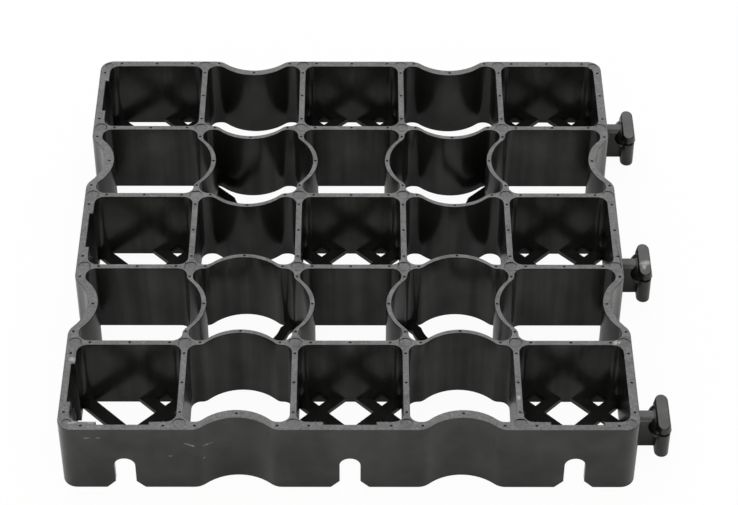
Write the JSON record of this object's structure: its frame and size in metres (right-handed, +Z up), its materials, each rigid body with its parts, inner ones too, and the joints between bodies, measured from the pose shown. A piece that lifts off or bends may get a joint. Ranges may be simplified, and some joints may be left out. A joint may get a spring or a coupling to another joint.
{
  "type": "grass paver grid",
  "caption": "Square moulded plastic paver tile: a grid of straight and bowed cell walls with an open lattice base, slots on two edges and T-shaped lugs on the other two.",
  "frame": {"origin": "middle of the grid of cells, on the ground plane", "axes": "+Z up; +X and +Y point to the two lugged edges; -Y is the slotted edge that faces the viewer of the picture"},
  "size_m": [0.3555, 0.3555, 0.049],
  "materials": {
    "recycled_plastic": "moulded, semi-matte, scuffed"
  },
  "bodies": {
    "root": {"paver_grid": "recycled_plastic"}
  },
  "joints": []
}
